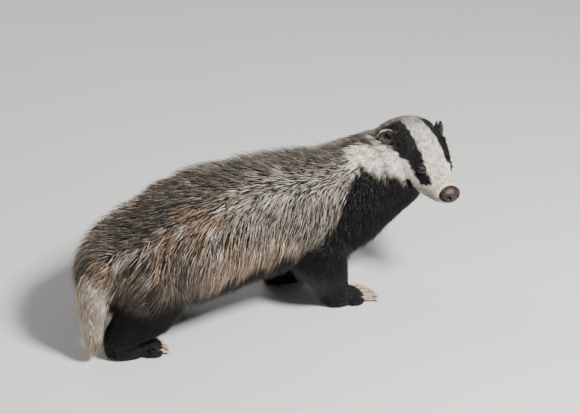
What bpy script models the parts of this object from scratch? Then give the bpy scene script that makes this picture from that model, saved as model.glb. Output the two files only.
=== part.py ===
"""A life-size European badger, walking and looking back over its right side.

The animal faces +X with its left side at +Y and its feet on the floor at z = 0. The flesh is
made of lofted tubes along the spine and along each leg, fused by a voxel remesh and parted by
thin plane cuts. Sizes are in millimetres and are turned into metres where a mesh is made.
"""

import math
import random
from collections import namedtuple

import bmesh
import bpy
import numpy as np
from mathutils import Matrix, Vector
from mathutils.bvhtree import BVHTree

MM = 0.001
GAP = 0.3  # between touching nodes
SHORT_FUR = 7.0  # a coat no deeper than this is part of the solid
CORE_SHARE = 0.0  # of the longer coat's depth that lies outside the solid

# Each station of a loft: its centre, half width, half height and the depth of coat there.
Station = namedtuple("Station", "x y z wide tall coat")

TRUNK = [
    Station(-214, -30, 126, 12, 14, 8),
    Station(-206, -27, 125, 44, 42, 22),
    Station(-186, -20, 119, 76, 60, 32),
    Station(-150, -11, 119, 98, 75, 36),
    Station(-105, -4, 127, 112, 85, 36),
    Station(-58, 0, 137, 117, 94, 34),
    Station(-10, 3, 145, 115, 95, 32),
    Station(50, 4, 150, 110, 96, 32),
    Station(107, 3, 149, 104, 96, 30),
    Station(150, 2, 148, 97, 95, 28),
    Station(189, 1, 153, 88, 90, 26),
    Station(226, 0, 166, 78, 82, 22),
    Station(256, -2, 179, 70, 75, 17),
    Station(282, -8, 189, 62, 66, 12),
    Station(304, -14, 200, 46, 48, 8),
    Station(316, -18, 206, 20, 22, 7),
]

# The head is measured from the nose tip backwards: x is the distance behind it.
HEAD = [
    Station(9, 0, 0, 15.0, 12.0, 1.0),
    Station(15, 0, -1.0, 19.5, 16.6, 1.5),
    Station(26, 0, -2.5, 22.5, 20.8, 2.0),
    Station(42, 0, -3.0, 26.0, 24.0, 2.5),
    Station(59, 0, -1.0, 33.0, 28.5, 3.0),
    Station(75, 0, 2.5, 42.0, 33.0, 4.0),
    Station(92, 0, 4.5, 52.0, 37.5, 5.5),
    Station(110, 0, 4.5, 59.0, 42.0, 6.5),
    Station(125, 0, 2.5, 62.0, 45.5, 7.0),
    Station(141, 0, 0.5, 61.0, 47.0, 7.0),
    Station(156, 0, -1.5, 55.0, 45.0, 7.0),
    Station(168, 0, -3.0, 42.0, 37.0, 6.0),
]
NOSE_TIP = (316, -128, 184)
HEAD_TURN, HEAD_NOD, HEAD_LEAN = -87, -10, -4  # degrees: heading, pitch, left side down

Leg = namedtuple("Leg", "stations foot_at foot_turn foot claw spread")
Foot = namedtuple("Foot", "long wide tall toe toe_long")
FORE_FOOT = Foot(58, 50, 27, 8.2, 17)
HIND_FOOT = Foot(74, 46, 25, 7.6, 16)
FORE_CLAW, HIND_CLAW = 27.0, 17.0

LEGS = {
    "front_leg_right": Leg(
        [
            Station(112, -48, 168, 38, 48, 20),
            Station(122, -58, 120, 40, 50, 16),
            Station(134, -60, 84, 35, 42, 11),
            Station(148, -55, 52, 27, 32, 7),
            Station(157, -51, 28, 24, 27, 5),
            Station(162, -50, 12, 20, 22, 4),
        ],
        (172, -49), -4, FORE_FOOT, FORE_CLAW, 1.0,
    ),
    "front_leg_left": Leg(
        [
            Station(112, 48, 168, 38, 48, 20),
            Station(106, 60, 120, 40, 50, 16),
            Station(100, 60, 84, 35, 42, 11),
            Station(100, 55, 52, 27, 32, 7),
            Station(104, 52, 28, 24, 27, 5),
            Station(108, 51, 12, 20, 22, 4),
        ],
        (118, 51), 6, FORE_FOOT, FORE_CLAW, 1.0,
    ),
    "hind_leg_right": Leg(
        [
            Station(-150, -44, 150, 52, 70, 26),
            Station(-136, -62, 108, 46, 60, 20),
            Station(-146, -66, 72, 34, 44, 13),
            Station(-178, -62, 46, 26, 30, 8),
            Station(-192, -58, 26, 22, 24, 5),
            Station(-190, -57, 13, 18, 21, 4),
        ],
        (-172, -56), -6, HIND_FOOT, HIND_CLAW, 0.85,
    ),
    "hind_leg_left": Leg(
        [
            Station(-140, 44, 150, 52, 70, 26),
            Station(-104, 62, 108, 46, 60, 20),
            Station(-92, 66, 74, 34, 42, 13),
            Station(-112, 62, 46, 26, 30, 8),
            Station(-122, 58, 26, 22, 24, 5),
            Station(-118, 57, 13, 18, 21, 4),
        ],
        (-98, 56), 8, HIND_FOOT, HIND_CLAW, 0.85,
    ),
}

# Places on the head, in its own frame: forward of the nose tip, to the left, up.
EYE_AT, EYE_BALL = (-56.5, 22.0, 17.0), 6.6
EYE_OPENING = (7.4, 9.0, 3.7)  # half length, depth and height of the almond between the lids
EYE_TURN, EYE_SLANT = 32, 14  # degrees: outward of straight ahead is 90 - 32, rise to the back
LID_BALL = 8.6
EAR_AT, EAR_SIZE = (-117, 47, 34), (8.0, 17.5, 20.0)
EAR_HOLLOW = (8.5, 13.2, 15.5)
EAR_TURN, EAR_LEAN, EAR_BACK = 38, 26, 14  # degrees: opening outward, tip outward, tip back
NOSE_AT, NOSE_SIZE = (-8.5, 0, 0.5), (11.5, 17.0, 13.6)
NOSTRIL_AT, NOSTRIL_SIZE = (1.5, 7.2, -0.5), (5.0, 3.4, 3.5)
NOSE_SLIT_AT, NOSE_SLIT_SIZE = (-3.0, 13.2, -4.2), (7.0, 5.0, 1.3)
MOUTH_BACK, MOUTH_DROP, MOUTH_SLOPE = 54, 11.5, 0.10
LIP, MOUTH_GROOVE = 2.4, 1.5

TAIL = [
    Station(-184, -24, 132, 18, 16, 8),
    Station(-204, -34, 136, 24, 22, 12),
    Station(-219, -43, 120, 27, 26, 16),
    Station(-224, -48, 95, 28, 26, 18),
    Station(-226, -51, 66, 26, 23, 18),
    Station(-228, -54, 40, 20, 18, 13),
    Station(-231, -56, 20, 11, 10, 6),
    Station(-233, -57, 10, 3, 3, 2),
]


# Where the nodes part: a point of each plane and the way it faces.
HEAD_CUT_AT, HEAD_CUT_WAY = Vector((237, 0, 230)), Vector((0.936, -0.08, 0.342)).normalized()
NECK_CUT_AT, NECK_CUT_WAY = Vector((182, 0, 244)), Vector((0.96, 0, 0.28)).normalized()
ANKLE, SOLE = 24.0, 1.2  # heights of the paw's upper cut and of its flat sole, before the drop
LEG_BOXES = {
    "front_leg_right": ((88, -150, -10), (216, -20, 84), 12),
    "front_leg_left": ((50, 20, -10), (170, 150, 84), -12),
    "hind_leg_right": ((-230, -150, -10), (-84, -18, 84), 12),
    "hind_leg_left": ((-170, 18, -10), (-40, 150, 84), -12),
}
COLOURS = [
    ("eye", (0.02, 0.015, 0.012), 0.15),
    ("nose", (0.06, 0.045, 0.04), 0.4),
    ("claw", (0.3, 0.25, 0.18), 0.5),
    ("ear", (0.05, 0.047, 0.045), 0.8),
    ("head", (0.6, 0.57, 0.5), 0.8),
    ("tail", (0.5, 0.45, 0.37), 0.8),
    ("leg", (0.03, 0.027, 0.025), 0.8),
    ("paw", (0.03, 0.027, 0.025), 0.8),
]
BODY_TRIANGLES, HEAD_TRIANGLES, PAW_TRIANGLES = 4200, 1900, 440


def smooth_rows(rows, count):
    """The stations resampled to count rows on one smooth curve through them."""
    rows = np.array(rows, float)
    steps = np.linalg.norm(np.diff(rows[:, :3], axis=0), axis=1)
    knots = np.concatenate([[0], np.cumsum(np.sqrt(steps))])
    padded = np.vstack([2 * rows[0] - rows[1], rows, 2 * rows[-1] - rows[-2]])
    ends = np.concatenate(
        [[knots[0] - (knots[1] - knots[0])], knots, [2 * knots[-1] - knots[-2]]]
    )
    made = []
    for at in np.linspace(0, knots[-1], count):
        i = min(int(np.searchsorted(knots, at, side="right")) - 1, len(knots) - 2)
        p, t = padded[i : i + 4], ends[i : i + 4]
        a = [
            (t[k + 1] - at) / (t[k + 1] - t[k]) * p[k]
            + (at - t[k]) / (t[k + 1] - t[k]) * p[k + 1]
            for k in range(3)
        ]
        b = [
            (t[k + 2] - at) / (t[k + 2] - t[k]) * a[k]
            + (at - t[k]) / (t[k + 2] - t[k]) * a[k + 1]
            for k in range(2)
        ]
        made.append((t[2] - at) / (t[2] - t[1]) * b[0] + (at - t[1]) / (t[2] - t[1]) * b[1])
    return np.array(made)


def shrunk(row, depth):
    """Half width and half height of a station, less the coat that lies outside the solid."""
    less = depth(row[5])
    return max(row[3] - less, 2.0), max(row[4] - less, 2.0)


def core_depth(coat):
    return CORE_SHARE * max(coat - SHORT_FUR, 0.0)


def loft(rows, side_hint, depth=core_depth, sides=36, square=2.15):
    """A closed tube through the stations. square over 2 makes each section fuller."""
    points, faces = [], []
    centres = rows[:, :3]
    along = np.gradient(centres, axis=0)
    hint = Vector(side_hint)
    for row, way in zip(rows, along):
        way = Vector(way).normalized()
        side = (hint - way * hint.dot(way)).normalized()
        up = way.cross(side)
        wide, tall = shrunk(row, depth)
        for k in range(sides):
            turn = 2 * math.pi * k / sides
            c, s = math.cos(turn), math.sin(turn)
            points.append(
                Vector(row[:3])
                + side * wide * math.copysign(abs(c) ** (2 / square), c)
                + up * tall * math.copysign(abs(s) ** (2 / square), s)
            )
    for r in range(len(rows) - 1):
        for k in range(sides):
            n = (k + 1) % sides
            faces.append((r * sides + k, r * sides + n, (r + 1) * sides + n, (r + 1) * sides + k))
    faces.append(tuple(reversed(range(sides))))
    faces.append(tuple(range((len(rows) - 1) * sides, len(rows) * sides)))
    return points, faces


def new_object(name, points, faces):
    """A mesh object from points in millimetres."""
    mesh = bpy.data.meshes.new(name)
    mesh.from_pydata([Vector(p) * MM for p in points], [], faces)
    obj = bpy.data.objects.new(name, mesh)
    bpy.context.scene.collection.objects.link(obj)
    turn_faces_out(mesh)
    return obj


def turn_faces_out(mesh):
    bm = bmesh.new()
    bm.from_mesh(mesh)
    bmesh.ops.recalc_face_normals(bm, faces=bm.faces)
    bm.to_mesh(mesh)
    bm.free()


def evaluated_copy(obj, name):
    """obj with its modifiers applied, as a new object. obj is removed."""
    graph = bpy.context.evaluated_depsgraph_get()
    mesh = bpy.data.meshes.new_from_object(obj.evaluated_get(graph))
    bpy.data.objects.remove(obj)
    made = bpy.data.objects.new(name, mesh)
    mesh.name = name
    bpy.context.scene.collection.objects.link(made)
    return made


def joined(objects, name):
    """The objects' meshes in one object, in world space. The objects are removed."""
    bm = bmesh.new()
    for obj in objects:
        obj.data.transform(obj.matrix_world)
        bm.from_mesh(obj.data)
        bpy.data.objects.remove(obj)
    mesh = bpy.data.meshes.new(name)
    bm.to_mesh(mesh)
    bm.free()
    made = bpy.data.objects.new(name, mesh)
    bpy.context.scene.collection.objects.link(made)
    return made


def fused(objects, name, voxel, rounds):
    """One closed skin round all the objects, smoothed where they meet."""
    obj = joined(objects, name)
    remesh = obj.modifiers.new("fuse", "REMESH")
    remesh.mode = "VOXEL"
    remesh.voxel_size = voxel * MM
    smooth = obj.modifiers.new("soften", "SMOOTH")
    smooth.factor = 0.5
    smooth.iterations = rounds
    return evaluated_copy(obj, name)


def thinned(obj, triangles):
    """obj with about so many triangles."""
    name = obj.name
    reduce = obj.modifiers.new("thin", "DECIMATE")
    obj.data.calc_loop_triangles()
    reduce.ratio = min(1.0, triangles / len(obj.data.loop_triangles))
    return evaluated_copy(obj, name)


def head_frame():
    """Matrix from head coordinates (x forward from the nose tip, y left, z up) to the world."""
    place = Matrix.Translation(Vector(NOSE_TIP) * MM)
    turn = Matrix.Rotation(math.radians(HEAD_TURN), 4, "Z")
    nod = Matrix.Rotation(math.radians(-HEAD_NOD), 4, "Y")
    lean = Matrix.Rotation(math.radians(HEAD_LEAN), 4, "X")
    return place @ turn @ nod @ lean


def clear_scene():
    for obj in list(bpy.data.objects):
        bpy.data.objects.remove(obj)


def trunk_loft():
    return new_object("trunk", *loft(smooth_rows(TRUNK, 70), (0, 1, 0)))


def head_loft():
    rows = smooth_rows(HEAD, 50)
    rows[:, 0] *= -1
    obj = new_object("head", *loft(rows, (0, 1, 0)))
    obj.data.transform(head_frame())
    return obj


def leg_loft(leg):
    return new_object("leg", *loft(smooth_rows(leg.stations, 30), (0, 1, 0), sides=28))


def tail_loft():
    return new_object("tail", *loft(smooth_rows(TAIL, 26), (0, 1, 0), sides=18))


def ball(name, place, radii, around=14):
    """An ellipsoid with its axes along those of the matrix place, which is in millimetres."""
    bm = bmesh.new()
    bmesh.ops.create_uvsphere(bm, u_segments=around, v_segments=around * 2 // 3, radius=1.0)
    size = Matrix.Diagonal((*radii, 1.0))
    bmesh.ops.transform(bm, matrix=Matrix.Scale(MM, 4) @ place @ size, verts=bm.verts)
    mesh = bpy.data.meshes.new(name)
    bm.to_mesh(mesh)
    bm.free()
    obj = bpy.data.objects.new(name, mesh)
    bpy.context.scene.collection.objects.link(obj)
    return obj


def block(low, high, place=Matrix()):
    """A box between two corners, turned and moved by the matrix place, in millimetres."""
    points = [Vector((x, y, z)) for x in (low[0], high[0]) for y in (low[1], high[1])
              for z in (low[2], high[2])]
    faces = [(0, 1, 3, 2), (4, 6, 7, 5), (0, 4, 5, 1), (2, 3, 7, 6), (0, 2, 6, 4), (1, 5, 7, 3)]
    return new_object("block", [place @ p for p in points], faces)


def shaped(obj, operation, others, solver="MANIFOLD"):
    """obj after one Boolean with a collection of closed meshes, which are then removed."""
    name = obj.name
    group = bpy.data.collections.new("pieces")
    bpy.context.scene.collection.children.link(group)
    for other in others:
        group.objects.link(other)
    boolean = obj.modifiers.new("shape", "BOOLEAN")
    boolean.operation = operation
    boolean.solver = solver
    boolean.operand_type = "COLLECTION"
    boolean.collection = group
    made = evaluated_copy(obj, name)
    for other in others:
        bpy.data.objects.remove(other)
    bpy.data.collections.remove(group)
    keep_largest(made)
    return made


def keep_largest(obj):
    """Drops every closed surface of obj but the largest one."""
    bm = bmesh.new()
    bm.from_mesh(obj.data)
    seen, shells = set(), []
    for start in bm.faces:
        if start in seen:
            continue
        shell, todo = [], [start]
        seen.add(start)
        while todo:
            face = todo.pop()
            shell.append(face)
            for edge in face.edges:
                for near in edge.link_faces:
                    if near not in seen:
                        seen.add(near)
                        todo.append(near)
        shells.append(shell)
    shells.sort(key=lambda shell: sum(face.calc_area() for face in shell))
    for shell in shells[:-1]:
        bmesh.ops.delete(bm, geom=shell, context="FACES")
    bmesh.ops.delete(bm, geom=[v for v in bm.verts if not v.link_faces], context="VERTS")
    bm.to_mesh(obj.data)
    bm.free()


def copy_of(obj):
    made = bpy.data.objects.new(obj.name, obj.data.copy())
    bpy.context.scene.collection.objects.link(made)
    return made


def fattened(obj, by=GAP):
    """A copy of obj moved out by so many millimetres."""
    made = copy_of(obj)
    bm = bmesh.new()
    bm.from_mesh(made.data)
    bm.normal_update()
    moves = [(v, v.normal * by * MM) for v in bm.verts]
    for v, move in moves:
        v.co += move
    bm.to_mesh(made.data)
    bm.free()
    return made


def kept_side(obj, point, normal):
    """The part of obj on the side of a plane that normal points to, closed by a flat face."""
    bm = bmesh.new()
    bm.from_mesh(obj.data)
    normal = Vector(normal).normalized()
    cut = bmesh.ops.bisect_plane(
        bm, geom=[*bm.verts, *bm.edges, *bm.faces], dist=1e-7,
        plane_co=Vector(point) * MM, plane_no=normal, clear_inner=True,
    )
    rim = [e for e in cut["geom_cut"] if isinstance(e, bmesh.types.BMEdge)]
    bmesh.ops.holes_fill(bm, edges=rim, sides=0)
    bmesh.ops.triangulate(bm, faces=[f for f in bm.faces if len(f.verts) > 4])
    bmesh.ops.recalc_face_normals(bm, faces=bm.faces)
    bm.to_mesh(obj.data)
    bm.free()
    return obj


def parted(obj, point, normal, behind, ahead):
    """obj cut in two by a plane, with the gap between the halves."""
    normal = Vector(normal).normalized()
    point = Vector(point)
    other = copy_of(obj)
    back = kept_side(obj, point - normal * GAP / 2, -normal)
    front = kept_side(other, point + normal * GAP / 2, normal)
    back.name, front.name = behind, ahead
    return back, front


def foot_frame(leg):
    place = Matrix.Translation((leg.foot_at[0], leg.foot_at[1], 0))
    return place @ Matrix.Rotation(math.radians(leg.foot_turn), 4, "Z")


def toe_frames(leg):
    """The frame of each toe at the middle of its pad, from the inner to the outer toe."""
    foot = leg.foot
    side_in = 1 if leg.foot_at[1] < 0 else -1
    frames = []
    for k in range(5):
        share = k / 2 - 1
        forward = foot.long / 2 - foot.toe - 7.0 * share**2 + 3.0 * share
        side = -side_in * share * (foot.wide / 2 - foot.toe * 0.8)
        turn = Matrix.Rotation(math.radians(-side_in * share * 9.0 * leg.spread), 4, "Z")
        place = Matrix.Translation((forward, side, foot.toe * 0.9))
        frames.append(foot_frame(leg) @ place @ turn)
    return frames


def paw_parts(leg):
    foot = leg.foot
    middle = foot_frame(leg) @ Matrix.Translation((-5, 0, foot.tall * 0.44))
    parts = [ball("pad", middle, (foot.long * 0.46, foot.wide / 2, foot.tall / 2), 24)]
    for frame in toe_frames(leg):
        parts.append(ball("toe", frame, (foot.toe_long * 0.75, foot.toe, foot.toe), 24))
    return parts


def claw(name, leg, frame):
    """A curved, tapering claw from the top of a toe down to just above the floor."""
    long = leg.claw
    root = leg.foot.toe_long * 0.75 - 4.0
    path = [(root, 3.2), (root + long * 0.45, 2.6), (root + long * 0.8, -0.8), (root + long, -4.6)]
    rows = [
        Station(x, 0, z, wide, tall, 0)
        for (x, z), wide, tall in zip(path, (2.4, 2.1, 1.5, 0.5), (3.0, 2.6, 1.8, 0.6))
    ]
    points, faces = loft(smooth_rows(rows, 6), (0, 1, 0), sides=6, square=2.0)
    return new_object(name, [frame @ p for p in points], faces)


def cut_claw(name, leg, frame, paw):
    return shaped(claw(name, leg, frame), "DIFFERENCE", [copy_of(paw)])


def head_place(at, side=1):
    """A matrix at a place on the head, with millimetres inside."""
    world = Matrix.Scale(1 / MM, 4) @ head_frame() @ Matrix.Scale(MM, 4)
    return world @ Matrix.Translation((at[0], at[1] * side, at[2]))


def turned(angle, axis):
    return Matrix.Rotation(math.radians(angle), 4, axis)


def head_section(behind):
    """Half width, half height and middle height of the head so far behind the nose tip."""
    rows = np.array(HEAD, float)
    wide, tall, middle, coat = (
        float(np.interp(behind, rows[:, 0], rows[:, k])) for k in (3, 4, 2, 5)
    )
    less = core_depth(coat)
    return wide - less, tall - less, middle


def mouth_path(drop, out):
    """Points round the muzzle at the mouth's height less drop, from one corner to the other."""
    points = []
    for k in range(-9, 10):
        share = abs(k) / 9
        behind = 10.5 + (MOUTH_BACK - 10.5) * share**1.4
        wide, tall, middle = head_section(behind)
        z = -MOUTH_DROP - MOUTH_SLOPE * behind - drop
        if k == 0:
            points.append((-behind + 1.2 + out, 0, z))
            continue
        level = min(abs(z - middle) / tall, 0.98)
        side = wide * (1 - level**2.15) ** (1 / 2.15) + out
        if share < 0.34:
            side *= (share / 0.34) ** 0.55
        points.append((-behind, math.copysign(side, k), z))
    return points


def mouth_tube(name, drop, out, radius):
    """A round bar along the mouth, thinner at the corners."""
    path = mouth_path(drop, out)
    rows = []
    for k, point in enumerate(path):
        thick = radius * (1 - 0.45 * abs(2 * k / (len(path) - 1) - 1) ** 3)
        rows.append(Station(*point, thick, thick, 0))
    points, faces = loft(np.array(rows, float), (0.02, 0, 1), sides=6, square=2.0)
    frame = head_place((0, 0, 0))
    return new_object(name, [frame @ p for p in points], faces)


def eye_place(side):
    return (
        head_place(EYE_AT, side)
        @ turned(side * (90 - EYE_TURN), "Z")
        @ turned(-18, "Y")
        @ turned(-side * EYE_SLANT, "X")
    )


def ear_place(side):
    return (
        head_place(EAR_AT, side)
        @ turned(side * EAR_TURN, "Z")
        @ turned(-side * EAR_LEAN, "X")
        @ turned(-EAR_BACK, "Y")
    )


def make_eye(name, side):
    return ball(name, eye_place(side), (EYE_BALL,) * 3)


def make_ear(name, side, head):
    place = ear_place(side)
    ear = ball(name, place, EAR_SIZE)
    hollow = ball("hollow", place @ Matrix.Translation((7.0, 0, 1.0)), EAR_HOLLOW)
    ear = shaped(ear, "DIFFERENCE", [hollow])
    ear = shaped(ear, "DIFFERENCE", [fattened(head)])
    return ear


def make_nose():
    nose = ball("nose", head_place(NOSE_AT), NOSE_SIZE, 18)
    cuts = [block((-2, -0.7, -16), (8, 0.7, -3.5), head_place((0, 0, 0)))]
    for side in (1, -1):
        turn = turned(side * 24, "Z")
        cuts.append(ball("nostril", head_place(NOSTRIL_AT, side) @ turn, NOSTRIL_SIZE, 12))
        turn = turned(side * 62, "Z")
        cuts.append(ball("slit", head_place(NOSE_SLIT_AT, side) @ turn, NOSE_SLIT_SIZE, 10))
    return shaped(nose, "DIFFERENCE", cuts)


def finish_head(head):
    """The head with lips, lids and a bed for the nose."""
    lids = [ball("lid", eye_place(side), (LID_BALL,) * 3) for side in (1, -1)]
    lips = [mouth_tube("lip", -2.3, -0.9, LIP), mouth_tube("lip", 2.2, -1.1, LIP * 0.85)]
    head = shaped(head, "UNION", lids + lips)
    cuts = [mouth_tube("mouth", 0, 0.2, MOUTH_GROOVE)]
    cuts.append(ball("bed", head_place(NOSE_AT), [r + GAP for r in NOSE_SIZE], 18))
    for side in (1, -1):
        place = eye_place(side)
        cuts.append(ball("socket", place, (EYE_BALL + GAP,) * 3))
        length, depth, height = EYE_OPENING
        front = place @ Matrix.Translation((EYE_BALL, 0, 0.3))
        cuts.append(ball("opening", front, (depth, length, height)))
    return shaped(head, "DIFFERENCE", cuts)


def paint(obj, colour, roughness):
    material = bpy.data.materials.new(obj.name)
    material.use_nodes = True
    shader = material.node_tree.nodes["Principled BSDF"]
    shader.inputs["Base Color"].default_value = (*colour, 1)
    shader.inputs["Roughness"].default_value = roughness
    obj.data.materials.clear()
    obj.data.materials.append(material)


def colour_of(name):
    """The base colour and roughness of a node."""
    for word, colour, roughness in COLOURS:
        if word in name:
            return colour, roughness
    return (0.2, 0.19, 0.175), 0.8


def stand_at_origin():
    """Moves every object so that the box round them all stands on z = 0, centred on the axes."""
    nodes = list(bpy.context.scene.collection.objects)
    corners = np.array([v.co for obj in nodes for v in obj.data.vertices])
    low, high = corners.min(axis=0), corners.max(axis=0)
    shift = Vector((-(low[0] + high[0]) / 2, -(low[1] + high[1]) / 2, -low[2]))
    for obj in nodes:
        obj.data.transform(Matrix.Translation(shift))


def main():
    clear_scene()
    legs = [leg_loft(leg) for leg in LEGS.values()]
    body = thinned(fused([trunk_loft(), head_loft(), *legs], "body", 4.0, 8), BODY_TRIANGLES)
    head = fused([trunk_loft(), head_loft()], "head", 2.4, 9)
    head = kept_side(head, HEAD_CUT_AT + HEAD_CUT_WAY * GAP / 2, HEAD_CUT_WAY)
    head = thinned(head, HEAD_TRIANGLES)
    body = kept_side(body, HEAD_CUT_AT - HEAD_CUT_WAY * GAP / 2, -HEAD_CUT_WAY)
    for side, word in ((1, "left"), (-1, "right")):
        make_ear(f"ear_{word}", side, head)
        make_eye(f"eye_{word}", side)
    make_nose()
    finish_head(head)
    for name, leg in LEGS.items():
        low, high, tilt = LEG_BOXES[name]
        place = turned(tilt, "X")
        inner = block(low, high, place)
        outer = block([v - GAP for v in low], [v + GAP for v in high], place)
        upper = shaped(copy_of(body), "INTERSECT", [inner])
        upper.name = name
        body = shaped(body, "DIFFERENCE", [outer])
        kept_side(upper, (0, 0, ANKLE + GAP), (0, 0, 1))
        paw = fused([leg_loft(leg), *paw_parts(leg)], "paw", 1.9, 3)
        kept_side(paw, (0, 0, ANKLE), (0, 0, -1))
        kept_side(paw, (0, 0, SOLE), (0, 0, 1))
        paw = thinned(paw, PAW_TRIANGLES)
        paw.name = name.replace("leg", "paw")
        solid = fattened(paw)
        for k, frame in enumerate(toe_frames(leg), 1):
            cut_claw(f"{name.replace('leg', 'claw')}_{k}", leg, frame, solid)
        bpy.data.objects.remove(solid)
    torso, neck = parted(body, NECK_CUT_AT, NECK_CUT_WAY, "torso", "neck")
    near_tail = [torso, bpy.data.objects["hind_leg_right"], bpy.data.objects["hind_paw_right"]]
    tail = tail_loft()
    for obj in near_tail:
        tail = shaped(tail, "DIFFERENCE", [fattened(obj)])
    stand_at_origin()
    for obj in bpy.context.scene.collection.objects:
        paint(obj, *colour_of(obj.name))


main()
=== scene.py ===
# %% [markdown]
# # A European badger in its coat
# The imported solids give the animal's true size and pose. This lesson dresses them: one skin
# takes the place of the flesh, and tens of thousands of small tufts of hair grow from it along
# the way a badger's hair lies.

# %% Load the solids
import math

import bmesh
import bpy
import numpy as np
from mathutils import Matrix, Vector
from mathutils.bvhtree import BVHTree
from mathutils.kdtree import KDTree


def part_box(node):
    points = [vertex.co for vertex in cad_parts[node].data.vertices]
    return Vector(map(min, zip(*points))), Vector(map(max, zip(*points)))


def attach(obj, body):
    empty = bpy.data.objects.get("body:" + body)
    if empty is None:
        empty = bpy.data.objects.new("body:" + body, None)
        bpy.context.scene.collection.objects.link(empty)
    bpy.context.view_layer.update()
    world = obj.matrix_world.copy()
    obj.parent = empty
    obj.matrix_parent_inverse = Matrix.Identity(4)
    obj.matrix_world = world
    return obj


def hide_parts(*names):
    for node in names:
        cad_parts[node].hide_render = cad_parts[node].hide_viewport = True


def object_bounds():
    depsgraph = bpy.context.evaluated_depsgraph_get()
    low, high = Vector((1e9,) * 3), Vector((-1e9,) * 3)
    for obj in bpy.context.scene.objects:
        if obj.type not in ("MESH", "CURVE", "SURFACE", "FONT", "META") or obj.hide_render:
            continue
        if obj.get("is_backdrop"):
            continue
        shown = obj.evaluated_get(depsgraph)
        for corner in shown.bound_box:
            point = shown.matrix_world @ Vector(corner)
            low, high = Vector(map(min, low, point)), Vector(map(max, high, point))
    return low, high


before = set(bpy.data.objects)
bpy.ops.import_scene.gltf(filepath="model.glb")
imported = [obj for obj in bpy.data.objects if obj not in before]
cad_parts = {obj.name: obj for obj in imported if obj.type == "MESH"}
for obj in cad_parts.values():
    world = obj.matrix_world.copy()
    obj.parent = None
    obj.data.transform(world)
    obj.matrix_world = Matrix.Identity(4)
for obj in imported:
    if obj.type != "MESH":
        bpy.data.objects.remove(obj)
CAD_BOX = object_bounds()
MM = 0.001
draw = np.random.default_rng(11)
print("solids:", len(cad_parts), "nodes")

# %% [markdown]
# ## The animal's measures
# The same stations shape the solids. Each row is a place on the spine or a leg, the half width
# and half height there, and how deep the coat is, all in millimetres. The skin lies inside the
# solids by that depth, so the tips of the hair end where the solids do.

# %% Stations of the trunk, head, legs and tail
TRUNK = np.array([
    (-214, -30, 126, 12, 14, 8), (-206, -27, 125, 44, 42, 22), (-186, -20, 119, 76, 60, 32),
    (-150, -11, 119, 98, 75, 36), (-105, -4, 127, 112, 85, 36), (-58, 0, 137, 117, 94, 34),
    (-10, 3, 145, 115, 95, 32), (50, 4, 150, 110, 96, 32), (107, 3, 149, 104, 96, 30),
    (150, 2, 148, 97, 95, 28), (189, 1, 153, 88, 90, 26), (226, 0, 166, 78, 82, 22),
    (256, -2, 179, 70, 75, 17), (282, -8, 189, 62, 66, 12), (304, -14, 200, 46, 48, 8),
    (316, -18, 206, 20, 22, 7),
], float)
HEAD = np.array([
    (9, 0, 0, 15.0, 12.0, 1.0), (15, 0, -1.0, 19.5, 16.6, 1.5), (26, 0, -2.5, 22.5, 20.8, 2.0),
    (42, 0, -3.0, 26.0, 24.0, 2.5), (59, 0, -1.0, 33.0, 28.5, 3.0), (75, 0, 2.5, 42.0, 33.0, 4.0),
    (92, 0, 4.5, 52.0, 37.5, 5.5), (110, 0, 4.5, 59.0, 42.0, 6.5), (125, 0, 2.5, 62.0, 45.5, 7.0),
    (141, 0, 0.5, 61.0, 47.0, 7.0), (156, 0, -1.5, 55.0, 45.0, 7.0), (168, 0, -3.0, 42.0, 37.0, 6.0),
], float)
TAIL = np.array([
    (-184, -24, 132, 18, 16, 8), (-204, -34, 136, 24, 22, 12), (-219, -43, 120, 27, 26, 16),
    (-224, -48, 95, 28, 26, 18), (-226, -51, 66, 26, 23, 18), (-228, -54, 40, 20, 18, 13),
    (-231, -56, 20, 11, 10, 6), (-233, -57, 10, 3, 3, 2),
], float)
LEGS = {
    "front_right": np.array([
        (112, -48, 168, 38, 48, 30), (122, -58, 120, 40, 50, 20), (134, -60, 84, 35, 42, 11),
        (148, -55, 52, 27, 32, 7), (157, -51, 28, 24, 27, 5), (162, -50, 12, 20, 22, 4)], float),
    "front_left": np.array([
        (112, 48, 168, 38, 48, 30), (106, 60, 120, 40, 50, 20), (100, 60, 84, 35, 42, 11),
        (100, 55, 52, 27, 32, 7), (104, 52, 28, 24, 27, 5), (108, 51, 12, 20, 22, 4)], float),
    "hind_right": np.array([
        (-150, -44, 150, 52, 70, 40), (-136, -62, 108, 46, 60, 26), (-146, -66, 72, 34, 44, 13),
        (-178, -62, 46, 26, 30, 8), (-192, -58, 26, 22, 24, 5), (-190, -57, 13, 18, 21, 4)], float),
    "hind_left": np.array([
        (-140, 44, 150, 52, 70, 40), (-104, 62, 108, 46, 60, 26), (-92, 66, 74, 34, 42, 13),
        (-112, 62, 46, 26, 30, 8), (-122, 58, 26, 22, 24, 5), (-118, 57, 13, 18, 21, 4)], float),
}
# Feet: where the sole's middle is, its turn in degrees, length, width, height, toe radius,
# toe length, claw length and how far the toes spread.
FEET = {
    "front_right": (172, -49, -4, 58, 50, 27, 8.2, 17, 27, 1.0),
    "front_left": (118, 51, 6, 58, 50, 27, 8.2, 17, 27, 1.0),
    "hind_right": (-172, -56, -6, 74, 46, 25, 7.6, 16, 17, 0.85),
    "hind_left": (-98, 56, 8, 74, 46, 25, 7.6, 16, 17, 0.85),
}
NOSE_TIP, HEAD_TURN, HEAD_NOD, HEAD_LEAN = (316, -128, 184), -87, -10, -4
SOLE = 1.2
SKIN_DEPTH = 0.9  # share of the coat's depth by which the skin lies inside the solids
print("stations:", len(TRUNK) + len(HEAD) + len(TAIL) + sum(len(v) for v in LEGS.values()))

# %% [markdown]
# ## From stations to closed tubes
# A smooth curve runs through the stations, and each row becomes a slightly squared ellipse. The
# tubes overlap freely, because a voxel remesh fuses them into one skin afterwards.

# %% Lofts and fusing


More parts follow.
